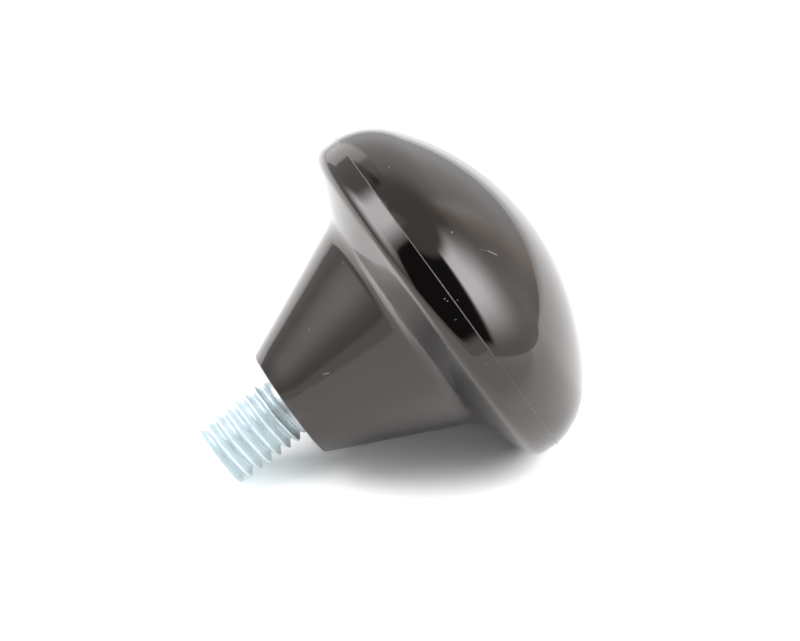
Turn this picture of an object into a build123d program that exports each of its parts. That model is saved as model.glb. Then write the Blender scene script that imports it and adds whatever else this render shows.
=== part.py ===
"""Mushroom knob with a moulded-in threaded stud.

The knob's axis is Z. Its seat, the small flat ring at the end of the stem, lies at Z = 0. The dome is
above the seat, and the threaded end of the stud is below it.
"""

import os
from math import asin, cos, degrees, radians, sin, tan

from build123d import *

os.makedirs("parts", exist_ok=True)

# Driving dimensions in millimetres, angles in degrees

# Head of the knob, above and below its parting line
head_diameter = 50.6
parting_height = 25.9  # from the seat up to the parting line
dome_height = 14.7  # from the parting line up to the top of the dome
dome_edge_draft = 6.0  # lean of the dome's wall where it starts
shoulder_radius = 10.3  # the dome's outer arc, which runs on into the crown
band_height = 3.5  # the upright band under the parting line
band_draft = 1.0
band_edge_radius = 2.2
underside_slope = 23.2  # fall of the underside towards the stem
flash_height = 0.16  # the fine ridge that the mould leaves on its parting line
flash_proud = 0.1

# Stem, a cone that widens from the seat up to the head
stem_end_diameter = 16.0
stem_taper = 25.0  # half angle of the cone
stem_edge_break = 0.2
neck_radius = 4.0  # between the stem and the underside

# Shallow recess round the stud, which keeps mould flash off the seat
recess_clearance = 0.35  # past the thread's crest
recess_depth = 0.35

# Stud
thread_diameter = 9.525
thread_pitch = 1.5875
blank_undersize = 0.64952  # a 60 degree thread is rolled on a blank this many pitches under its crests
stud_length = 12.0  # from the seat to the tip
plain_length = 1.84  # unthreaded neck next to the seat
tip_chamfer = 0.7

# Anchor, the stud's hexagonal head, which the moulding grips
anchor_cover = 8.5  # from the seat up to the head
anchor_thickness = 6.0
anchor_across_flats = 14.3

head_radius = head_diameter / 2
thread_radius = thread_diameter / 2
plain_radius = (thread_diameter - blank_undersize * thread_pitch) / 2


def dome_arcs():
    """Give the crown's radius, and the angle at which the shoulder arc meets it."""
    draft = radians(dome_edge_draft)
    shoulder_out = head_radius - shoulder_radius * cos(draft)
    shoulder_down = dome_height + shoulder_radius * sin(draft)
    rise = shoulder_down - shoulder_radius
    crown_radius = (shoulder_out**2 + shoulder_down**2 - shoulder_radius**2) / (2 * rise)
    return crown_radius, degrees(asin(shoulder_out / (crown_radius - shoulder_radius)))


crown_radius, crown_angle = dome_arcs()

# The lower edge of the band, and the corner where the underside meets the stem
band_bottom = parting_height - band_height
band_bottom_radius = head_radius - band_height * tan(radians(band_draft))
stem_end_radius = stem_end_diameter / 2
fall = tan(radians(underside_slope))
widening = tan(radians(stem_taper))
neck_height = (band_bottom - fall * (band_bottom_radius - stem_end_radius)) / (1 - fall * widening)
neck_corner_radius = stem_end_radius + widening * neck_height

# Threaded stud, turned to the outline of its thread's crests, with its plain neck run on to a hexagonal head
runout_end = -plain_length - (thread_radius - plain_radius)

with BuildPart() as threaded_stud:
    with BuildSketch(Plane.XZ):
        with BuildLine():
            Polyline(
                (0, -stud_length),
                (thread_radius - tip_chamfer, -stud_length),
                (thread_radius, tip_chamfer - stud_length),
                (thread_radius, runout_end),
                (plain_radius, -plain_length),
                (plain_radius, anchor_cover),
                (0, anchor_cover),
                close=True,
            )
        make_face()
    revolve(axis=Axis.Z)
    with BuildSketch(Plane.XY.offset(anchor_cover)):
        RegularPolygon(anchor_across_flats / 2, side_count=6, major_radius=False)
    extrude(amount=anchor_thickness)

threaded_stud.part.label = "threaded_stud"
export_step(threaded_stud.part, "parts/threaded_stud.step")

# Knob body, one solid moulding round the stud's anchor
with BuildPart() as knob_body:
    with BuildSketch(Plane.XZ):
        with BuildLine():
            underside = FilletPolyline(
                (0, 0),
                (stem_end_radius - stem_edge_break, 0),
                (stem_end_radius + widening * stem_edge_break, stem_edge_break),
                (neck_corner_radius, neck_height),
                (band_bottom_radius, band_bottom),
                (head_radius, parting_height),
                radius=[0, 0, neck_radius, band_edge_radius],
            )
            shoulder = JernArc(
                start=underside @ 1,
                tangent=(-sin(radians(dome_edge_draft)), cos(radians(dome_edge_draft))),
                radius=shoulder_radius,
                arc_size=90 - dome_edge_draft - crown_angle,
            )
            crown = JernArc(start=shoulder @ 1, tangent=shoulder % 1, radius=crown_radius, arc_size=crown_angle)
            Line(crown @ 1, (0, 0))
        make_face()
        with Locations((head_radius, parting_height)):
            Rectangle(2 * flash_proud, flash_height)
    revolve(axis=Axis.Z)
    with Locations((0, 0, recess_depth / 2)):
        Cylinder(thread_radius + recess_clearance, recess_depth, mode=Mode.SUBTRACT)
    add(threaded_stud.part, mode=Mode.SUBTRACT)

knob_body.part.label = "knob_body"
export_step(knob_body.part, "parts/knob_body.step")
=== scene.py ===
"""Dresses a mushroom knob: a glossy black moulding turned about its threaded stud, lying in a white studio.

Lengths are in metres and angles in radians. The knob's axis is Z. Its seat, the flat end of the stem, is at
Z = 0.
"""

import math

import bpy
from bpy.props import FloatProperty, FloatVectorProperty, IntProperty, PointerProperty
from mathutils import Matrix, Vector


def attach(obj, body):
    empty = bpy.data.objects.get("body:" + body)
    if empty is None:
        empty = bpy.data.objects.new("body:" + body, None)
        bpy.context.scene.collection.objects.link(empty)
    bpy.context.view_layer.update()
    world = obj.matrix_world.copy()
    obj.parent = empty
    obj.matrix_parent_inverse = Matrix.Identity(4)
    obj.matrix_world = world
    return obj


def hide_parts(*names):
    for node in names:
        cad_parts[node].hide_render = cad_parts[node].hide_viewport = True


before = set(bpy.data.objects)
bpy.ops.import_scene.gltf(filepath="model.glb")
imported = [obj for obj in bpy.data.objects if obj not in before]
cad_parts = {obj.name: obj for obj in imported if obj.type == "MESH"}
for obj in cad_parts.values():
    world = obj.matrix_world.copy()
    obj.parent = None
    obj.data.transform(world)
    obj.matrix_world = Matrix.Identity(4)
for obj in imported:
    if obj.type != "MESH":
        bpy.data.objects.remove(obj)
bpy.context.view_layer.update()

bl_info = {
    "name": "Mushroom knob",
    "version": (1, 0, 0),
    "blender": (4, 5, 0),
    "location": "View3D > Sidebar > Knob",
    "description": "Builds a mushroom knob with a threaded stud and the studio that it lies in",
    "category": "Object",
}

MM = 0.001
WELD_DISTANCE = 0.002 * MM
CREASE_ANGLE = math.radians(35)  # edges of the moulding that bend more than this are sharp
THREAD_CREASE_ANGLE = math.radians(50)

# The flash's outline: how far out and up each point is, as shares of its proud and of half its height
FLASH_OUTLINE = ((0.55, -0.95), (0.9, -0.6), (1, -0.2), (1, 0.2), (0.9, 0.6), (0.55, 0.95))
FLASH_PATCH_LENGTH = 4 * MM  # its worn patches are about this long

# A rolled 60 degree thread, in pitches
BLANK_UNDERSIZE = 0.64952  # its blank's diameter is this much under its crests'
HALF_CREST_FLAT = 1 / 16
THREAD_DEPTH = 0.6134
CREST_ROUND = 0.08
ROOT_ROUND = 0.14
RUN_OUT = (0.1, 1.4)  # its crests grow from nothing to full height over this much under the neck
GROOVE_START = (0.02, 0.6)  # and its grooves get their shape over this much

# The floor as the gloss shows it, in millimetres to the right of where the knob touches it and away from the
# camera. Each area is from, to and soft edge in both directions.
# Painted light and shade: each area darkens the floor's colour where the gloss mirrors it
PAST_FLOOR = 1000
PAINTED_FLOOR_SHADE = (
    ((-PAST_FLOOR, 5, 25), (-PAST_FLOOR, -10, 20), 1.0),  # on the camera's side, under the stem
    ((-PAST_FLOOR, PAST_FLOOR, 1), (-PAST_FLOOR, -52.5, 17.5), 1.0),  # in front of the whole knob
    ((-30, 28, 30), (50, 160, 30), 1.0),  # behind the head
    ((-PAST_FLOOR, PAST_FLOOR, 1), (200, PAST_FLOOR, 50), 0.7),  # far behind it
)
# Painted light and shade as well: a pool of light beside the left lamp and a shadow in the hollow under the
# head
PAINTED_LIGHT_POOL = ((-110, -50, 15), (-45, 5, 15))  # lit most, near the left lamp
PAINTED_HOLLOW_SHADOW = ((-27, -14, 9), (-22, -8, 8))  # lit least, under the head

# The tent as the gloss shows it. Bearings count to the right from straight away from the camera, and heights
# from the floor, both in degrees. Each patch is from, to and soft edge in bearing and in height, and how much
# lighter or darker than the cloth it is.
TENT_WALL, TENT_ROOF = 1.22, 0.6
TENT_EAVES = (40, 65)  # the wall turns into the roof between these heights
TENT_PATCHES = (
    ((-29, -17, 2), (-9, 31, 3), 0.75),  # bright gap at the left
    ((-36, -29, 1.5), (-9, 16, 1.5), 1.1),  # brighter strip beside it
    ((-38, -18, 1.5), (33, 56, 3), -0.2),  # dark flap above them
    ((-14, 75, 6), (-9, 1, 5), -0.22),  # foot of the back wall
    ((36, 43, 5), (16, 48, 8), 0.45),  # lit side of a fold at the right
    ((49, 60, 4), (-9, 58, 6), -0.22),  # its shaded side
    ((-120, -78, 15), (60, 80, 7), 0.55),  # roof over the left lamp
)
SHADE_ACROSS, SHADE_TOP, SHADE_LEVEL = (-150, -29, 1.5), (54, 60), -0.45  # the shaded wall at the left
SHADE_SLANT, SHADE_FOOT = 0.113, (-11.5, -8.5)  # its foot climbs towards the camera
OPENING = ((137, 225, 3), (6, 65, 3.5))  # the dark opening that the camera looks through
WARM_FOLD, WARM_TINT = ((42, 51, 3), (-9, 60, 6)), (1.0, 0.9, 0.81)

# The lamps' glow on the tent: where it starts, is full, fades and ends, in bearing and in height, and its
# level
LAMP_GLOWS = (((58, 118, 131, 138), (2, 42, 59, 71), 6.9), ((-140, -96, -77, -55), (4, 45, 60, 70), 6.6))
LAMP_TINT, LAMP_TINT_SHARE = (0.95, 0.985, 1.05), 0.3

# The lamps themselves, for matt surfaces and the shadow: bearing, height, and length of a side in metres
LAMPS = (("lamp_right", 105, 40, 0.65), ("lamp_left", -95, 50, 0.55))


def length(name, description, millimetres):
    """A length that a user may change, shown in the scene's own unit."""
    return FloatProperty(
        name=name, description=description, default=millimetres * MM, unit="LENGTH", precision=5
    )


def angle(name, description, degrees):
    return FloatProperty(
        name=name, description=description, default=math.radians(degrees), subtype="ANGLE"
    )


def share(name, description, value):
    return FloatProperty(name=name, description=description, default=value, min=0, max=1, subtype="FACTOR")


def amount(name, description, value):
    return FloatProperty(name=name, description=description, default=value, min=0)


def count(name, description, value):
    return IntProperty(name=name, description=description, default=value, min=3)


def colour(name, description, value):
    return FloatVectorProperty(
        name=name, description=description, default=value, size=3, min=0, max=1, subtype="COLOR"
    )


class KnobMouldingSettings(bpy.types.PropertyGroup):
    head_diameter: length("Head diameter", "Across the head at its parting line", 50.6)
    parting_height: length("Parting height", "From the seat up to the parting line", 25.9)
    dome_height: length("Dome height", "From the parting line up to the top of the dome", 14.7)
    dome_edge_draft: angle("Dome edge draft", "Lean of the dome's wall where it starts", 6)
    shoulder_radius: length("Shoulder radius", "The dome's outer arc, which runs on into the crown", 10.3)
    band_height: length("Band height", "The upright band under the parting line", 3.5)
    band_draft: angle("Band draft", "Lean of the band", 1)
    band_edge_radius: length("Band edge radius", "Round of the band's lower edge", 2.2)
    underside_slope: angle("Underside slope", "Fall of the underside towards the stem", 23.2)
    flash_height: length("Flash height", "The fine ridge that the mould leaves on its parting line", 0.16)
    flash_proud: length("Flash proud", "How far that ridge stands out", 0.1)
    flash_unevenness: length("Flash unevenness", "How much the ridge comes and goes on its way round", 0.07)
    stem_end_diameter: length("Stem end diameter", "Across the stem at the seat", 16)
    stem_taper: angle("Stem taper", "Half angle of the stem's cone", 25)
    stem_edge_radius: length("Stem edge radius", "Round of the edge between the seat and the stem", 0.3)
    neck_radius: length("Neck radius", "Between the stem and the underside", 4)
    recess_clearance: length("Recess clearance", "Recess round the stud, past the thread's crest", 0.35)
    recess_depth: length("Recess depth", "Depth of that recess", 0.35)
    segments: count("Segments", "Steps round the moulding", 192)
    body_colour: colour("Body colour", "Colour under the moulding's gloss", (0.0052, 0.0046, 0.0043))
    rubbed_colour: colour("Rubbed colour", "Colour of dust and scratches in the gloss", (0.2, 0.19, 0.18))
    gloss_roughness: share("Gloss roughness", "Roughness of the clean moulded surface", 0.05)
    gloss_ior: amount("Gloss IOR", "Refractive index of the moulding", 1.65)
    gloss_tint: colour("Gloss tint", "Warm cast of what the gloss mirrors face on", (1, 0.9, 0.85))


class ThreadedStudSettings(bpy.types.PropertyGroup):
    thread_diameter: length("Thread diameter", "Across the thread's crests", 9.525)
    thread_pitch: length("Thread pitch", "From one crest to the next", 1.5875)
    stud_length: length("Stud length", "From the seat to the tip", 12)
    plain_length: length("Plain length", "Unthreaded neck next to the seat", 0.2)
    tip_chamfer: length("Tip chamfer", "Chamfer round the tip", 0.5)
    anchor_cover: length("Anchor cover", "From the seat up to the stud's hexagonal head", 8.5)
    anchor_thickness: length("Anchor thickness", "Thickness of that head", 6)
    anchor_across_flats: length("Anchor across flats", "Across the head's flats", 14.3)
    thread_start: share("Thread start", "Turn of the thread about its axis", 0.158)
    segments: count("Segments", "Steps round the stud", 120)
    rows_per_turn: count("Rows per turn", "Rows of faces in one pitch of the thread", 24)
    zinc_colour: colour("Zinc colour", "Colour of the bright plating", (0.74, 0.83, 0.855))
    # Painted shade: the plating's colour is darkened down in the thread's grooves
    groove_shade_colour: colour("Groove colour", "Colour of the plating down in the grooves", (0.67, 0.75, 0.775))
    zinc_roughness: share("Zinc roughness", "Roughness of the plating", 0.47)


class StudioSettings(bpy.types.PropertyGroup):
    camera_distance: length("Camera distance", "From the camera to the knob's axis", 382)
    camera_lens: amount("Camera lens", "Focal length in millimetres on a 36 mm sensor", 128.25)
    axis_tilt: angle("Axis tilt", "Angle of the knob's axis above the picture's horizontal", 36)
    aim_height: length("Aim height", "Height on the axis that the camera aims at", 18.53)
    aim_side: length("Aim side", "How far beside the axis the camera aims", -0.39)
    floor_colour: colour("Floor colour", "Colour of the floor", (0.95, 0.95, 0.95))
    floor_half: length("Floor half", "Half of the floor's side", 450)
    floor_seen: amount("Floor seen", "How much brighter than lit the floor looks to the camera", 1.7)
    floor_mirrored: amount("Floor mirrored", "How much brighter than lit the floor looks in the gloss", 1.95)
    # Painted light and shade in the floor's colour in the gloss: a pool of light, a shadow under the head,
    # dimming away from the lamps
    floor_light_pool: amount("Floor hot spot", "How much brighter still it looks beside the left lamp", 1.6)
    floor_hollow_shadow: amount("Floor hollow", "How much darker it looks in the hollow under the head", 0.5)
    floor_painted_dimming: amount("Floor dimming", "How much less so away from the lamps", 0.45)
    lamp_distance: length("Lamp distance", "From the knob to each lamp", 800)
    lamp_level: amount("Lamp level", "Radiance of each soft lamp", 4.0)
    sky_level: amount("Sky level", "Radiance of the tent's plain cloth", 0.36)


class NodeSheet:
    """Adds nodes to one tree and joins them up, so that a shape or a finish reads as a list of steps."""

    def __init__(self, tree):
        self.tree = tree
        tree.nodes.clear()

    def node(self, kind, inputs=None, **settings):
        """Make a node. An input that is given a socket is linked to it, and any other is set."""
        made = self.tree.nodes.new(kind)
        for name, value in settings.items():
            setattr(made, name, value)
        for name, value in (inputs or {}).items():
            if isinstance(value, bpy.types.NodeSocket):
                self.tree.links.new(value, made.inputs[name])
            else:
                made.inputs[name].default_value = value
        return made

    def math(self, operation, first, second=0.0, third=0.0):
        inputs = {0: first, 1: second, 2: third}
        return self.node("ShaderNodeMath", inputs, operation=operation).outputs[0]

    def vector(self, operation, first, second=(0.0, 0.0, 0.0), result=0):
        made = self.node("ShaderNodeVectorMath", {0: first, 1: second}, operation=operation)
        return made.outputs[result]

    def dot(self, first, second):
        return self.vector("DOT_PRODUCT", first, second, result=1)

    def scaled(self, vector, factor):
        """A fixed vector or colour times a socket's value."""
        made = self.node("ShaderNodeVectorMath", {0: tuple(vector), "Scale": factor}, operation="SCALE")
        return made.outputs[0]

    def ramp(self, value, low, high, to_low=0.0, to_high=1.0):
        """Turn a value smoothly from to_low, at low, to to_high, at high."""
        inputs = {"Value": value, "From Min": low, "From Max": high, "To Min": to_low, "To Max": to_high}
        made = self.node("ShaderNodeMapRange", inputs, interpolation_type="SMOOTHSTEP")
        return made.outputs["Result"]

    def swell(self, value, start, full, fade, end):
        """0 up to start, 1 from full to fade, and 0 past end."""
        return self.math("MULTIPLY", self.ramp(value, start, full), self.ramp(value, fade, end, 1.0, 0.0))

    def within(self, value, low, high, soft):
        """1 between low and high, falling to 0 over a soft distance about each."""
        return self.swell(value, low - soft, low + soft, high - soft, high + soft)

    def patch(self, first, second, first_range, second_range, level=1.0):
        """A level that holds where each of two values lies within its own from, to and soft edge."""
        inside = self.math("MULTIPLY", self.within(first, *first_range), self.within(second, *second_range))
        return self.math("MULTIPLY", inside, level)

    def noise(self, place, scale, detail=2.0, roughness=0.5, distortion=0.0):
        inputs = {"Vector": place, "Scale": scale, "Detail": detail}
        inputs.update({"Roughness": roughness, "Distortion": distortion})
        return self.node("ShaderNodeTexNoise", inputs).outputs["Fac"]

    def mix_colour(self, factor, first, second):
        mixer = self.node("ShaderNodeMix", data_type="RGBA")
        sockets = (mixer.inputs[0], mixer.inputs[6], mixer.inputs[7])
        for socket, value in zip(sockets, (factor, first, second)):
            if isinstance(value, bpy.types.NodeSocket):
                self.tree.links.new(value, socket)
            else:
                socket.default_value = value if isinstance(value, float) else (*value, 1.0)
        return mixer.outputs[2]


def rounded_corner(before, corner, after, radius, steps):
    """Points of the arc that rounds a corner between two straight runs."""
    corner = Vector(corner)
    back = (Vector(before) - corner).normalized()
    ahead = (Vector(after) - corner).normalized()
    half = back.angle(ahead) / 2
    centre = corner + (back + ahead).normalized() * (radius / math.sin(half))
    first = corner + back * (radius / math.tan(half)) - centre
    last = corner + ahead * (radius / math.tan(half)) - centre
    sweep = first.angle_signed(last)
    points = []
    for step in range(steps + 1):
        turn = -sweep * step / steps
        points.append(
            (
                centre.x + first.x * math.cos(turn) - first.y * math.sin(turn),
                centre.y + first.x * math.sin(turn) + first.y * math.cos(turn),
            )
        )
    return points


def arc(centre, radius, start, end, steps):
    """Points of an arc, whose angles are counted from the outward direction up towards the axis."""
    angles = [start + (end - start) * step / steps for step in range(steps + 1)]
    return [(centre[0] + radius * math.cos(a), centre[1] + radius * math.sin(a)) for a in angles]


def run(first, last, steps):
    """Points evenly along a straight run, without its ends."""
    return [
        (first[0] + (last[0] - first[0]) * step / steps, first[1] + (last[1] - first[1]) * step / steps)
        for step in range(1, steps)
    ]


def dome_outline(knob):
    """The dome from its parting line up to the axis: a shoulder arc that runs on into a crown arc."""
    head_radius = knob.head_diameter / 2
    draft = knob.dome_edge_draft
    shoulder_out = head_radius - knob.shoulder_radius * math.cos(draft)
    shoulder_down = knob.dome_height + knob.shoulder_radius * math.sin(draft)
    rise = shoulder_down - knob.shoulder_radius
    crown_radius = (shoulder_out**2 + shoulder_down**2 - knob.shoulder_radius**2) / (2 * rise)
    crown_angle = math.asin(shoulder_out / (crown_radius - knob.shoulder_radius))
    shoulder_centre = (shoulder_out, knob.parting_height - knob.shoulder_radius * math.sin(draft))
    crown_centre = (0, knob.parting_height + knob.dome_height - crown_radius)
    join = math.pi / 2 - crown_angle
    flash_turn = knob.flash_height / 2 / knob.shoulder_radius
    shoulder = arc(shoulder_centre, knob.shoulder_radius, draft + flash_turn, join, 40)
    crown = arc(crown_centre, crown_radius, join, math.pi / 2, 44)
    return shoulder + crown[1:-1] + [(0, knob.parting_height + knob.dome_height)]


def moulding_outline(knob, stud):
    """Rows (radius, height, hexagonal, flash) of the moulding, from the anchor's chamber round to the top."""
    plain_radius = (stud.thread_diameter - BLANK_UNDERSIZE * stud.thread_pitch) / 2
    recess_radius = stud.thread_diameter / 2 + knob.recess_clearance
    chamber_radius = stud.anchor_across_flats / 2
    chamber_top = stud.anchor_cover + stud.anchor_thickness
    stem_radius = knob.stem_end_diameter / 2
    head_radius = knob.head_diameter / 2
    band_bottom = knob.parting_height - knob.band_height
    band_radius = head_radius - knob.band_height * math.tan(knob.band_draft)
    fall = math.tan(knob.underside_slope)
    widening = math.tan(knob.stem_taper)
    neck_height = (band_bottom - fall * (band_radius - stem_radius)) / (1 - fall * widening)
    neck = (stem_radius + widening * neck_height, neck_height)
    band_corner = (band_radius, band_bottom)
    half_flash = knob.flash_height / 2

    chamber = [
        (0, chamber_top, 0, 0),
        (chamber_radius, chamber_top, 1, 0),
        (chamber_radius, stud.anchor_cover, 1, 0),
    ]
    bore = [
        (plain_radius, stud.anchor_cover),
        (plain_radius, knob.recess_depth),
        (recess_radius, knob.recess_depth),
        (recess_radius, 0),
    ]
    stem_edge = rounded_corner((recess_radius, 0), (stem_radius, 0), neck, knob.stem_edge_radius, 6)
    neck_round = rounded_corner((stem_radius, 0), neck, band_corner, knob.neck_radius, 12)
    band_start = (head_radius, knob.parting_height - half_flash)
    band_round = rounded_corner(neck, band_corner, band_start, knob.band_edge_radius, 10)
    outside = stem_edge + run(stem_edge[-1], neck_round[0], 8) + neck_round
    outside += run(neck_round[-1], band_round[0], 8) + band_round
    outside += run(band_round[-1], band_start, 4) + [band_start]
    flash = []
    for out, up in FLASH_OUTLINE:
        flash.append((head_radius + out * knob.flash_proud, knob.parting_height + up * half_flash, 0, 1))
    rows = chamber + [(*point, 0, 0) for point in bore + outside]
    return rows + flash + [(*point, 0, 0) for point in dome_outline(knob)]


def stud_outline(stud):
    """Rows (radius, height, hexagonal, threaded) of the stud, from its tip up to its head's top.

    The thread's rows climb by one pitch in a turn, so they start a pitch below the tip and are cut off there.
    """
    plain_radius = (stud.thread_diameter - BLANK_UNDERSIZE * stud.thread_pitch) / 2
    head_radius = stud.anchor_across_flats / 2
    head_top = stud.anchor_cover + stud.anchor_thickness
    turns = math.ceil((stud.stud_length - stud.plain_length) / stud.thread_pitch) + 1
    rows = [(0, -stud.stud_length, 0, 0)]
    for step in range(turns * stud.rows_per_turn + 1):
        height = -stud.stud_length + stud.thread_pitch * (step / stud.rows_per_turn - 1)
        rows.append((plain_radius, height, 0, 1))
    rows += [(plain_radius, stud.anchor_cover, 0, 0), (head_radius, stud.anchor_cover, 1, 0)]
    return rows + [(head_radius, head_top, 1, 0), (0, head_top, 0, 0)]


def outline_mesh(name, rows, marks):
    """Hold the rows of an outline as loose points, with a named value for each mark on them."""
    mesh = bpy.data.meshes.new(name)
    mesh.from_pydata([(row[0], 0, row[1]) for row in rows], [], [])
    for column, mark in enumerate(marks):
        attribute = mesh.attributes.new(mark, "FLOAT", "POINT")
        attribute.data.foreach_set("value", [float(row[2 + column]) for row in rows])
    return mesh


def new_shape_tree(name, sizes):
    """Start a Geometry Nodes tree with the named inputs that all turned pieces have and its own sizes."""
    tree = bpy.data.node_groups.new(name, "GeometryNodeTree")
    inputs = [("Outline", "Geometry"), ("Segments", "Int"), ("Crease Angle", "Float"), ("Finish", "Material")]
    for label, kind in inputs + [(size, "Float") for size in sizes]:
        tree.interface.new_socket(name=label, in_out="INPUT", socket_type="NodeSocket" + kind)
    tree.interface.new_socket(name="Piece", in_out="OUTPUT", socket_type="NodeSocketGeometry")
    sheet = NodeSheet(tree)
    return tree, sheet, sheet.node("NodeGroupInput").outputs


def lay_rows(sheet, given):
    """Lay the outline's rows on a grid, a column for each step of the turn. Gives the grid, row and turn."""
    inputs = {"Geometry": given["Outline"]}
    rows = sheet.node("GeometryNodeAttributeDomainSize", inputs, component="MESH").outputs["Point Count"]
    columns = sheet.math("ADD", given["Segments"], 1.0)
    grid = sheet.node("GeometryNodeMeshGrid", {"Vertices X": columns, "Vertices Y": rows})
    index = sheet.node("GeometryNodeInputIndex").outputs["Index"]
    column = sheet.math("FLOOR", sheet.math("DIVIDE", sheet.math("ADD", index, 0.5), rows))
    row = sheet.math("SUBTRACT", index, sheet.math("MULTIPLY", column, rows))
    return grid.outputs["Mesh"], row, sheet.math("DIVIDE", column, given["Segments"])


def read_row(sheet, given, row, mark=None):
    """Read an outline row's place, or the value of a mark on it."""
    if mark is None:
        value = sheet.node("GeometryNodeInputPosition").outputs["Position"]
        kind = "FLOAT_VECTOR"
    else:
        value = sheet.node("GeometryNodeInputNamedAttribute", {"Name": mark}, data_type="FLOAT")
        value = value.outputs["Attribute"]
        kind = "FLOAT"
    inputs = {"Geometry": given["Outline"], "Index": row}
    sampler = sheet.node("GeometryNodeSampleIndex", inputs, data_type=kind)
    sheet.tree.links.new(value, sampler.inputs["Value"])
    return sampler.outputs["Value"]


def hexagon_stretch(sheet, turn, hexagonal):
    """How much further out a hexagon is at this turn than at its flats, with corners on X, or 1 if round."""
    sixth = math.pi / 6
    around = sheet.math("ADD", sheet.math("MULTIPLY", turn, 2 * math.pi), sixth)
    off_flat = sheet.math("WRAP", around, sixth, -sixth)
    stretch = sheet.math("SUBTRACT", sheet.math("DIVIDE", 1.0, sheet.math("COSINE", off_flat)), 1.0)
    return sheet.math("ADD", sheet.math("MULTIPLY", stretch, hexagonal), 1.0)


def close_turned_piece(sheet, given, grid, turn, radius, height):
    """Wrap the grid round the axis, weld its seam and poles, crease its sharp edges and add its finish."""
    angle_round = sheet.math("MULTIPLY", turn, 2 * math.pi)
    across = sheet.math("MULTIPLY", radius, sheet.math("COSINE", angle_round))
    along = sheet.math("MULTIPLY", radius, sheet.math("SINE", angle_round))
    place = sheet.node("ShaderNodeCombineXYZ", {"X": across, "Y": along, "Z": height}).outputs[0]
    placed = sheet.node("GeometryNodeSetPosition", {"Geometry": grid, "Position": place}).outputs[0]
    inputs = {"Geometry": placed, "Distance": WELD_DISTANCE}
    welded = sheet.node("GeometryNodeMergeByDistance", inputs).outputs[0]
    smooth = sheet.node("GeometryNodeSetShadeSmooth", {"Geometry": welded}).outputs[0]
    bend = sheet.node("GeometryNodeInputMeshEdgeAngle").outputs["Unsigned Angle"]
    sharp = sheet.math("GREATER_THAN", bend, given["Crease Angle"])
    inputs = {"Geometry": smooth, "Selection": sharp, "Shade Smooth": False}
    creased = sheet.node("GeometryNodeSetShadeSmooth", inputs, domain="EDGE").outputs[0]
    realized = sheet.node("GeometryNodeRealizeInstances", {"Geometry": creased}).outputs[0]
    inputs = {"Geometry": realized, "Material": given["Finish"]}
    finished = sheet.node("GeometryNodeSetMaterial", inputs).outputs[0]
    sheet.node("NodeGroupOutput", {"Piece": finished})


def moulding_shape():
    """The moulding: its outline turned about the axis, with an uneven flash and a hexagonal chamber."""
    tree, sheet, given = new_shape_tree("turned_moulding", ["Flash Unevenness", "Flash Patch Length"])
    grid, row, turn = lay_rows(sheet, given)
    place = sheet.node("ShaderNodeSeparateXYZ", {0: read_row(sheet, given, row)}).outputs
    stretch = hexagon_stretch(sheet, turn, read_row(sheet, given, row, "hexagonal"))
    angle_round = sheet.math("MULTIPLY", turn, 2 * math.pi)
    across = sheet.math("MULTIPLY", place["X"], sheet.math("COSINE", angle_round))
    along = sheet.math("MULTIPLY", place["X"], sheet.math("SINE", angle_round))
    around = sheet.node("ShaderNodeCombineXYZ", {"X": across, "Y": along}).outputs[0]
    patches = sheet.math("DIVIDE", 1.0, given["Flash Patch Length"])
    uneven = sheet.math("SUBTRACT", sheet.noise(around, patches, 3.0, 0.6), 0.62)
    uneven = sheet.math("MINIMUM", sheet.math("MULTIPLY", uneven, 3.0), 0.0)
    set_back = sheet.math("MULTIPLY", given["Flash Unevenness"], sheet.math("MAXIMUM", uneven, -1.0))
    set_back = sheet.math("MULTIPLY", set_back, read_row(sheet, given, row, "flash"))
    radius = sheet.math("ADD", sheet.math("MULTIPLY", place["X"], stretch), set_back)
    close_turned_piece(sheet, given, grid, turn, radius, place["Z"])
    return tree


def thread_radius(sheet, given, turn, height):
    """Radius of the rolled thread, which runs out under the neck and is cut by the tip's chamfer."""
    pitch = given["Pitch"]
    climb = sheet.math("SUBTRACT", sheet.math("DIVIDE", height, pitch), turn)
    off_crest = sheet.math("PINGPONG", sheet.math("ADD", climb, given["Thread Start"]), 0.5)
    drop = sheet.math("MULTIPLY", sheet.math("SUBTRACT", off_crest, HALF_CREST_FLAT), math.sqrt(3))
    drop = sheet.math("SMOOTH_MAX", drop, 0.0, CREST_ROUND)
    drop = sheet.math("SMOOTH_MIN", drop, THREAD_DEPTH, ROOT_ROUND)
    radius = sheet.math("SUBTRACT", given["Crest Radius"], sheet.math("MULTIPLY", drop, pitch))
    below_neck = sheet.math("DIVIDE", sheet.math("SUBTRACT", given["Neck End"], height), pitch)
    room = sheet.math("SUBTRACT", given["Crest Radius"], given["Plain Radius"])
    rolled = sheet.math("MULTIPLY", sheet.ramp(below_neck, *RUN_OUT), room)
    radius = sheet.math("MINIMUM", radius, sheet.math("ADD", given["Plain Radius"], rolled))
    cut = sheet.ramp(below_neck, *GROOVE_START)
    radius = sheet.math("SUBTRACT", radius, given["Plain Radius"])
    radius = sheet.math("ADD", sheet.math("MULTIPLY", radius, cut), given["Plain Radius"])
    above_tip = sheet.math("SUBTRACT", height, given["Tip Height"])
    return sheet.math("MINIMUM", radius, sheet.math("ADD", given["Tip Radius"], above_tip))


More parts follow.
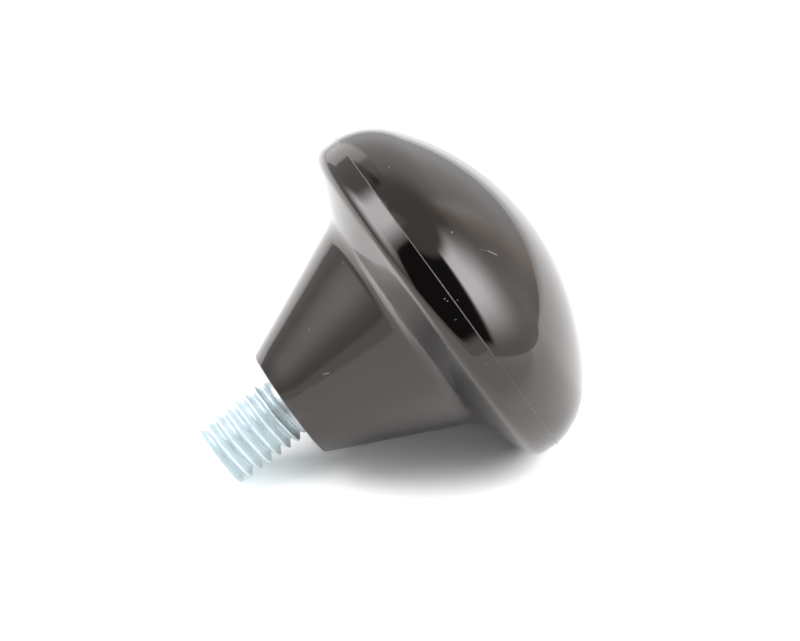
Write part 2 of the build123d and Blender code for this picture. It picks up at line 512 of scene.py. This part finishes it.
def stud_shape():
    """The stud: a helical thread whose rows of faces climb with it, a plain shank and a hexagonal head."""
    sizes = ["Pitch", "Crest Radius", "Plain Radius", "Neck End", "Tip Radius", "Tip Height", "Thread Start"]
    tree, sheet, given = new_shape_tree("threaded_stud", sizes)
    grid, row, turn = lay_rows(sheet, given)
    place = sheet.node("ShaderNodeSeparateXYZ", {0: read_row(sheet, given, row)}).outputs
    threaded = read_row(sheet, given, row, "threaded")
    climbed = sheet.math("MULTIPLY_ADD", turn, given["Pitch"], place["Z"])
    climbed = sheet.math("MAXIMUM", climbed, given["Tip Height"])
    climbed = sheet.math("MINIMUM", climbed, given["Neck End"])
    height = sheet.math("MULTIPLY_ADD", sheet.math("SUBTRACT", climbed, place["Z"]), threaded, place["Z"])
    stretch = hexagon_stretch(sheet, turn, read_row(sheet, given, row, "hexagonal"))
    plain = sheet.math("MULTIPLY", place["X"], stretch)
    cut = sheet.math("SUBTRACT", thread_radius(sheet, given, turn, height), plain)
    radius = sheet.math("MULTIPLY_ADD", cut, threaded, plain)
    close_turned_piece(sheet, given, grid, turn, radius, height)
    return tree


def turned_piece(name, outline, tree, values):
    """Evaluate a shape tree on its outline and keep the result as one plain, closed mesh."""
    piece = bpy.data.objects.new(name, outline)
    bpy.context.scene.collection.objects.link(piece)
    modifier = piece.modifiers.new("shape", "NODES")
    modifier.node_group = tree
    sockets = {item.name: item.identifier for item in tree.interface.items_tree if item.in_out == "INPUT"}
    for label, value in values.items():
        modifier[sockets[label]] = value
    depsgraph = bpy.context.evaluated_depsgraph_get()
    mesh = bpy.data.meshes.new_from_object(piece.evaluated_get(depsgraph), depsgraph=depsgraph)
    piece.modifiers.remove(modifier)
    piece.data = mesh
    mesh.name = name
    bpy.data.meshes.remove(outline)
    check_closed(piece)
    return piece


def check_closed(piece):
    """Stop if the piece has an open edge, or if its faces point inwards."""
    mesh = piece.data
    uses = {}
    volume = 0.0
    for face in mesh.polygons:
        for key in face.edge_keys:
            uses[key] = uses.get(key, 0) + 1
        corners = [mesh.vertices[index].co for index in face.vertices]
        for second, third in zip(corners[1:], corners[2:]):
            volume += corners[0].dot(second.cross(third)) / 6
    open_edges = sum(1 for times in uses.values() if times != 2)
    if open_edges or volume <= 0:
        raise RuntimeError(f"{piece.name} has {open_edges} open edges and a volume of {volume:.3e} m3")


def new_finish(name):
    """A material with one Principled shader. Gives it, its sheet, the shader and object coordinates."""
    material = bpy.data.materials.new(name)
    material.use_nodes = True
    sheet = NodeSheet(material.node_tree)
    shader = sheet.node("ShaderNodeBsdfPrincipled")
    sheet.node("ShaderNodeOutputMaterial", {"Surface": shader.outputs[0]})
    place = sheet.node("ShaderNodeTexCoord").outputs["Object"]
    return material, sheet, shader, place


# Small scratches and specks on the moulding: from and to in millimetres, width, and how far rubbed
HANDLING_MARKS = (
    ((-1.77, -22.04, 32.33), (-0.9, -21.14, 33.14), 0.09, 0.3),
    ((-0.9, -21.14, 33.14), (0.1, -20.38, 33.75), 0.13, 1.6),
    ((-5.52, -22.79, 30.8), (-5.5, -22.78, 30.82), 0.17, 1.8),
    ((-17.03, -17.43, 29.22), (-17.0, -17.42, 29.24), 0.12, 1.0),
    ((3.97, -12.88, 37.79), (4.0, -12.9, 37.76), 0.12, 0.8),
    ((-6.42, -10.03, 8.38), (-6.4, -10.03, 8.4), 0.13, 1.0),
    ((-0.59, -11.05, 6.58), (-0.29, -11.38, 7.25), 0.11, 1.0),
    ((0.72, -25.28, 25.13), (0.75, -25.28, 25.15), 0.13, 1.4),
    ((1.15, -25.26, 25.24), (1.18, -25.26, 25.27), 0.11, 1.2),
    ((-10.84, -11.79, 17.14), (-10.82, -11.77, 17.18), 0.14, 0.9),
    ((-0.17, -8.95, 2.04), (-0.29, -10.02, 4.35), 0.06, 0.3),
    ((-5.52, -7.61, 3.0), (-6.3, -8.6, 5.4), 0.05, 0.3),
)


def moulding_finish(knob):
    """Polished black moulding: a deep gloss with faint waves, handling haze, dust and a rubbed flash."""
    material, sheet, shader, place = new_finish("black_moulding")
    links = material.node_tree.links
    axis = sheet.node("ShaderNodeSeparateXYZ", {0: place}).outputs
    flat = sheet.node("ShaderNodeCombineXYZ", {"X": axis["X"], "Y": axis["Y"]}).outputs[0]
    out = sheet.vector("LENGTH", flat, result=1)
    head_radius = knob.head_diameter / 2
    low, high = knob.parting_height - knob.flash_height / 2, knob.parting_height + knob.flash_height / 2
    on_flash = sheet.within(axis["Z"], low, high, 0.02 * MM)
    past_wall = sheet.ramp(out, head_radius + 0.01 * MM, head_radius + 0.06 * MM)
    flash = sheet.math("MULTIPLY", on_flash, past_wall)

    haze = sheet.ramp(sheet.noise(place, scale=90.0, detail=4.0, roughness=0.6, distortion=0.6), 0.5, 0.72)
    grain = sheet.noise(place, scale=2600.0)
    dust = sheet.ramp(sheet.noise(place, scale=1500.0, detail=1.0), 0.79, 0.83)
    # The flash is rubbed pale, less so towards +X
    flash_tone = sheet.math("MULTIPLY", flash, sheet.ramp(axis["X"], 4 * MM, 14 * MM, 0.5, 0.12))
    rubbed = sheet.math("MAXIMUM", flash_tone, sheet.math("MULTIPLY", dust, 0.35))
    for start, end, width, strength in HANDLING_MARKS:
        mark = sheet.math("MULTIPLY", scratch(sheet, place, start, end, width), strength)
        rubbed = sheet.math("MAXIMUM", rubbed, mark)
    tone = sheet.mix_colour(rubbed, knob.body_colour, knob.rubbed_colour)
    links.new(tone, shader.inputs["Base Color"])

    rough = sheet.math("MULTIPLY_ADD", haze, 0.035, knob.gloss_roughness)
    rough = sheet.math("MULTIPLY_ADD", grain, 0.02, rough)
    rough = sheet.math("MULTIPLY_ADD", flash, 0.25, rough)
    links.new(rough, shader.inputs["Roughness"])
    shader.inputs["IOR"].default_value = knob.gloss_ior
    shader.inputs["Specular Tint"].default_value = (*knob.gloss_tint, 1.0)

    waves = sheet.noise(place, scale=170.0, detail=1.0)
    peel = sheet.noise(place, scale=900.0)
    relief = sheet.math("MULTIPLY_ADD", peel, 0.12, waves)
    bump = sheet.node("ShaderNodeBump", {"Height": relief, "Strength": 1.0, "Distance": 0.006 * MM})
    links.new(bump.outputs[0], shader.inputs["Normal"])
    return material


def scratch(sheet, place, start, end, width):
    """1 on a thin straight mark between two points in millimetres. A speck has them close together."""
    start, end = Vector(start) * MM, Vector(end) * MM
    reach = end - start
    from_start = sheet.vector("SUBTRACT", place, tuple(start))
    along = sheet.dot(from_start, tuple(reach / reach.length_squared))
    along = sheet.math("MINIMUM", sheet.math("MAXIMUM", along, 0.0), 1.0)
    off_line = sheet.vector("DISTANCE", from_start, sheet.scaled(reach, along), result=1)
    return sheet.ramp(off_line, width * 0.3 * MM, width * MM, 1.0, 0.0)


def zinc_finish(stud):
    """Bright zinc plating on a rolled thread: drawn streaks round the axis, duller grooves, and shade painted
    darker down in the grooves.
    """
    material, sheet, shader, place = new_finish("plated_steel")
    links = material.node_tree.links
    axis = sheet.node("ShaderNodeSeparateXYZ", {0: place}).outputs
    flat = sheet.node("ShaderNodeCombineXYZ", {"X": axis["X"], "Y": axis["Y"]}).outputs[0]
    out = sheet.vector("LENGTH", flat, result=1)
    crest = stud.thread_diameter / 2
    depth = sheet.ramp(out, crest - 0.9 * MM, crest - 0.3 * MM, 1.0, 0.0)
    stretched = sheet.node("ShaderNodeMapping", {"Vector": place, "Scale": (300.0, 300.0, 9000.0)}).outputs[0]
    drawn = sheet.noise(stretched, scale=1.0, detail=3.0, roughness=0.6)
    blotch = sheet.noise(place, scale=700.0, detail=4.0, roughness=0.6)
    # Painted shade: a darker colour down in the grooves, coming and going in random blotches
    groove_shade = sheet.math("MULTIPLY", depth, sheet.ramp(blotch, 0.3, 0.7))
    links.new(sheet.mix_colour(groove_shade, stud.zinc_colour, stud.groove_shade_colour), shader.inputs["Base Color"])
    rough = sheet.math("MULTIPLY_ADD", blotch, 0.14, stud.zinc_roughness - 0.07)
    rough = sheet.math("MULTIPLY_ADD", depth, 0.1, rough)
    links.new(rough, shader.inputs["Roughness"])
    shader.inputs["Metallic"].default_value = 0.6
    relief = sheet.math("MULTIPLY_ADD", blotch, 0.7, drawn)
    bump = sheet.node("ShaderNodeBump", {"Height": relief, "Strength": 0.6, "Distance": 0.006 * MM})
    links.new(bump.outputs[0], shader.inputs["Normal"])
    return material


def studio_axes(scene):
    """The floor that the knob lies on: a point of it, and its right, away and up directions.

    The knob touches it at the rim of its flash and at the last full crest of its thread.
    """
    knob, stud, studio = scene.knob_moulding, scene.threaded_stud, scene.studio
    rim = knob.head_diameter / 2 + knob.flash_proud
    crest = stud.thread_diameter / 2
    last_crest = -(stud.stud_length - stud.tip_chamfer)
    lean = math.atan2(rim - crest, knob.parting_height - last_crest)
    right = Vector((math.sin(studio.axis_tilt), 0, math.cos(studio.axis_tilt)))
    up_z = math.sin(lean)
    up_x = -up_z / math.tan(studio.axis_tilt)
    up = Vector((up_x, -math.sqrt(1 - up_x**2 - up_z**2), up_z))
    outward = Vector((-up.x, -up.y, 0)).normalized()
    touch = outward * rim + Vector((0, 0, knob.parting_height))
    return touch, right, up.cross(right), up


def studio_floor(scene):
    """A wide pale floor, which keeps the knob's shadow, and whose colour carries painted light and shade
    where the gloss mirrors it. From below it can be seen through.
    """
    studio = scene.studio
    touch, right, away, _ = studio_axes(scene)
    mesh = bpy.data.meshes.new("floor")
    half = studio.floor_half
    corners = [touch + right * half * x + away * half * y for x, y in ((-1, -1), (1, -1), (1, 1), (-1, 1))]
    mesh.from_pydata(corners, [], [(0, 1, 2, 3)])
    floor = bpy.data.objects.new("floor", mesh)
    scene.collection.objects.link(floor)
    material = bpy.data.materials.new("floor_white")
    material.use_nodes = True
    sheet = NodeSheet(material.node_tree)
    path = sheet.node("ShaderNodeLightPath").outputs
    seen = sheet.math("MAXIMUM", path["Is Camera Ray"], path["Is Transmission Ray"])
    seen = sheet.math("MULTIPLY", seen, studio.floor_seen - 1)

    place = sheet.node("ShaderNodeTexCoord").outputs["Object"]
    to_right = sheet.math("DIVIDE", sheet.math("SUBTRACT", sheet.dot(place, right), right.dot(touch)), MM)
    to_back = sheet.math("DIVIDE", sheet.math("SUBTRACT", sheet.dot(place, away), away.dot(touch)), MM)
    # Painted light and shade: in the gloss the floor's colour dims away from the lamps, brightens beside the
    # left lamp and darkens under the head
    painted_shade = 0.0
    for across, depth, level in PAINTED_FLOOR_SHADE:
        painted_shade = sheet.math("MAXIMUM", sheet.patch(to_right, to_back, across, depth, level), painted_shade)
    mirrored = sheet.math("MULTIPLY_ADD", painted_shade, -studio.floor_painted_dimming, studio.floor_mirrored - 1)
    for (across, depth), level in ((PAINTED_LIGHT_POOL, studio.floor_light_pool), (PAINTED_HOLLOW_SHADOW, -studio.floor_hollow_shadow)):
        mirrored = sheet.math("ADD", mirrored, sheet.patch(to_right, to_back, across, depth, level))

    gain = sheet.math("MULTIPLY_ADD", path["Is Glossy Ray"], mirrored, seen)
    paint = sheet.scaled(studio.floor_colour, sheet.math("ADD", gain, 1.0))
    top = sheet.node("ShaderNodeBsdfDiffuse", {"Color": paint}).outputs[0]
    clear = sheet.node("ShaderNodeBsdfTransparent").outputs[0]
    under = sheet.node("ShaderNodeNewGeometry").outputs["Backfacing"]
    surface = sheet.node("ShaderNodeMixShader", {0: under, 1: top, 2: clear}).outputs[0]
    sheet.node("ShaderNodeOutputMaterial", {"Surface": surface})
    mesh.materials.append(material)


def tent_walls(sheet, bearing, height):
    """What the gloss shows of the tent in each direction. Gives its level and its tint."""
    walls = sheet.ramp(height, *TENT_EAVES, TENT_WALL, TENT_ROOF)
    shade = sheet.ramp(height, *SHADE_TOP, SHADE_LEVEL, 0.0)
    shade = sheet.math("MULTIPLY", sheet.within(bearing, *SHADE_ACROSS), shade)
    foot = sheet.ramp(sheet.math("MULTIPLY_ADD", bearing, SHADE_SLANT, height), *SHADE_FOOT)
    walls = sheet.math("MULTIPLY_ADD", shade, foot, walls)
    for across, upright, level in TENT_PATCHES:
        walls = sheet.math("ADD", walls, sheet.patch(bearing, height, across, upright, level))
    lamps = 0.0
    for across, upright, level in LAMP_GLOWS:
        glow = sheet.math("MULTIPLY", sheet.swell(bearing, *across), sheet.swell(height, *upright))
        lamps = sheet.math("MULTIPLY_ADD", glow, level, lamps)
    walls = sheet.math("ADD", walls, lamps)
    tint = sheet.mix_colour(sheet.patch(bearing, height, *WARM_FOLD), (1.0, 1.0, 1.0), WARM_TINT)
    cool = sheet.math("MINIMUM", sheet.math("MULTIPLY", lamps, LAMP_TINT_SHARE), 1.0)
    around = sheet.math("WRAP", bearing, 230.0, -130.0)  # so that the opening's bearings don't jump
    closed = sheet.math("SUBTRACT", 1.0, sheet.patch(around, height, *OPENING))
    return sheet.math("MULTIPLY", walls, closed), sheet.mix_colour(cool, tint, LAMP_TINT)


def studio_tent(scene):
    """The tent round the knob: plain light on matt surfaces, a white backdrop, and its walls in the gloss."""
    _, right, away, up = studio_axes(scene)
    world = bpy.data.worlds.new("studio_tent")
    scene.world = world
    world.use_nodes = True
    sheet = NodeSheet(world.node_tree)
    toward = sheet.node("ShaderNodeTexCoord").outputs["Generated"]
    rise = sheet.math("ARCSINE", sheet.dot(toward, up))
    turn = sheet.math("ARCTAN2", sheet.dot(toward, right), sheet.dot(toward, away))
    height, bearing = (sheet.math("MULTIPLY", value, math.degrees(1)) for value in (rise, turn))
    walls, tint = tent_walls(sheet, bearing, height)

    path = sheet.node("ShaderNodeLightPath").outputs
    white = (1.0, 1.0, 1.0, 1.0)
    inputs = {"Color": white, "Strength": scene.studio.sky_level}
    plain = sheet.node("ShaderNodeBackground", inputs).outputs[0]
    backdrop = sheet.node("ShaderNodeBackground", {"Color": white, "Strength": 1.0}).outputs[0]
    tent = sheet.node("ShaderNodeBackground", {"Color": tint, "Strength": walls}).outputs[0]
    seen = sheet.math("MAXIMUM", path["Is Camera Ray"], path["Is Transmission Ray"])
    light = sheet.node("ShaderNodeMixShader", {0: seen, 1: plain, 2: backdrop}).outputs[0]
    light = sheet.node("ShaderNodeMixShader", {0: path["Is Glossy Ray"], 1: light, 2: tent}).outputs[0]
    sheet.node("ShaderNodeOutputWorld", {"Surface": light})


def studio_lamps(scene):
    """Two soft lamps, one on each side, for the light on matt surfaces and the shadow on the floor."""
    studio = scene.studio
    _, right, away, up = studio_axes(scene)
    centre = Vector((0, 0, scene.knob_moulding.parting_height / 2))
    for name, bearing, height, size in LAMPS:
        turn, rise = math.radians(bearing), math.radians(height)
        out = (right * math.sin(turn) + away * math.cos(turn)) * math.cos(rise) + up * math.sin(rise)
        lamp = bpy.data.lights.new(name, "AREA")
        lamp.shape = "SQUARE"
        lamp.size = size
        lamp.energy = studio.lamp_level * math.pi * size**2
        carrier = bpy.data.objects.new(name, lamp)
        carrier.location = centre + out * studio.lamp_distance
        carrier.rotation_mode = "QUATERNION"
        carrier.rotation_quaternion = out.to_track_quat("Z", "Y")
        carrier.visible_glossy = False
        carrier.visible_camera = False
        scene.collection.objects.link(carrier)


def studio_camera(scene):
    """The camera at the picture's viewing angle, with the knob's axis climbing to the right."""
    studio = scene.studio
    eye = Vector((0, -studio.camera_distance, scene.knob_moulding.parting_height))
    aim = Vector((studio.aim_side, 0, studio.aim_height))
    back = (eye - aim).normalized()
    right = Vector((math.sin(studio.axis_tilt), 0, math.cos(studio.axis_tilt)))
    right = (right - back * right.dot(back)).normalized()
    turn = Matrix((right, back.cross(right), back)).transposed()
    camera = bpy.data.objects.new("camera", bpy.data.cameras.new("camera"))
    camera.data.lens = studio.camera_lens
    camera.data.sensor_width = 36.0
    camera.data.clip_start = 0.01
    camera.data.clip_end = 20.0
    camera.matrix_world = Matrix.Translation(eye) @ turn.to_4x4()
    scene.collection.objects.link(camera)
    scene.camera = camera


class KNOB_OT_moulding(bpy.types.Operator):
    """Turn the black moulding about its axis and put it in the place of its solid"""

    bl_idname = "knob.moulding"
    bl_label = "Knob moulding"

    def execute(self, context):
        knob = context.scene.knob_moulding
        rows = moulding_outline(knob, context.scene.threaded_stud)
        outline = outline_mesh("moulding_outline", rows, ("hexagonal", "flash"))
        values = {
            "Segments": knob.segments,
            "Crease Angle": CREASE_ANGLE,
            "Finish": moulding_finish(knob),
            "Flash Unevenness": knob.flash_unevenness,
            "Flash Patch Length": FLASH_PATCH_LENGTH,
        }
        moulding = turned_piece("moulding", outline, moulding_shape(), values)
        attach(moulding, "root")
        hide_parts("knob_body")
        return {"FINISHED"}


class KNOB_OT_stud(bpy.types.Operator):
    """Cut the stud's thread and put the stud in the place of its solid"""

    bl_idname = "knob.stud"
    bl_label = "Threaded stud"

    def execute(self, context):
        stud = context.scene.threaded_stud
        outline = outline_mesh("stud_outline", stud_outline(stud), ("hexagonal", "threaded"))
        values = {
            "Segments": stud.segments,
            "Crease Angle": THREAD_CREASE_ANGLE,
            "Finish": zinc_finish(stud),
            "Pitch": stud.thread_pitch,
            "Crest Radius": stud.thread_diameter / 2,
            "Plain Radius": (stud.thread_diameter - BLANK_UNDERSIZE * stud.thread_pitch) / 2,
            "Neck End": -stud.plain_length,
            "Tip Radius": stud.thread_diameter / 2 - stud.tip_chamfer,
            "Tip Height": -stud.stud_length,
            "Thread Start": stud.thread_start,
        }
        piece = turned_piece("stud", outline, stud_shape(), values)
        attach(piece, "root")
        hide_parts("threaded_stud")
        return {"FINISHED"}


class KNOB_OT_studio(bpy.types.Operator):
    """Set up the floor, the tent, the lamps and the camera"""

    bl_idname = "knob.studio"
    bl_label = "Studio"

    def execute(self, context):
        scene = context.scene
        scene.view_settings.view_transform = "Standard"
        studio_floor(scene)
        studio_tent(scene)
        studio_lamps(scene)
        studio_camera(scene)
        return {"FINISHED"}


class KNOB_PT_sidebar(bpy.types.Panel):
    """Sizes and colours of the knob and its studio, each with the button that builds it"""

    bl_idname = "KNOB_PT_sidebar"
    bl_label = "Mushroom knob"
    bl_space_type = "VIEW_3D"
    bl_region_type = "UI"
    bl_category = "Knob"

    def draw(self, context):
        scene = context.scene
        for operator, settings in (
            (KNOB_OT_moulding, scene.knob_moulding),
            (KNOB_OT_stud, scene.threaded_stud),
            (KNOB_OT_studio, scene.studio),
        ):
            box = self.layout.box()
            for name in type(settings).__annotations__:
                box.prop(settings, name)
            box.operator(operator.bl_idname)


CLASSES = (
    KnobMouldingSettings,
    ThreadedStudSettings,
    StudioSettings,
    KNOB_OT_moulding,
    KNOB_OT_stud,
    KNOB_OT_studio,
    KNOB_PT_sidebar,
)


def register():
    for cls in CLASSES:
        bpy.utils.register_class(cls)
    bpy.types.Scene.knob_moulding = PointerProperty(type=KnobMouldingSettings)
    bpy.types.Scene.threaded_stud = PointerProperty(type=ThreadedStudSettings)
    bpy.types.Scene.studio = PointerProperty(type=StudioSettings)


def unregister():
    del bpy.types.Scene.studio
    del bpy.types.Scene.threaded_stud
    del bpy.types.Scene.knob_moulding
    for cls in reversed(CLASSES):
        bpy.utils.unregister_class(cls)


def main():
    register()
    bpy.ops.knob.moulding()
    bpy.ops.knob.stud()
    bpy.ops.knob.studio()


if __name__ == "__main__":
    main()
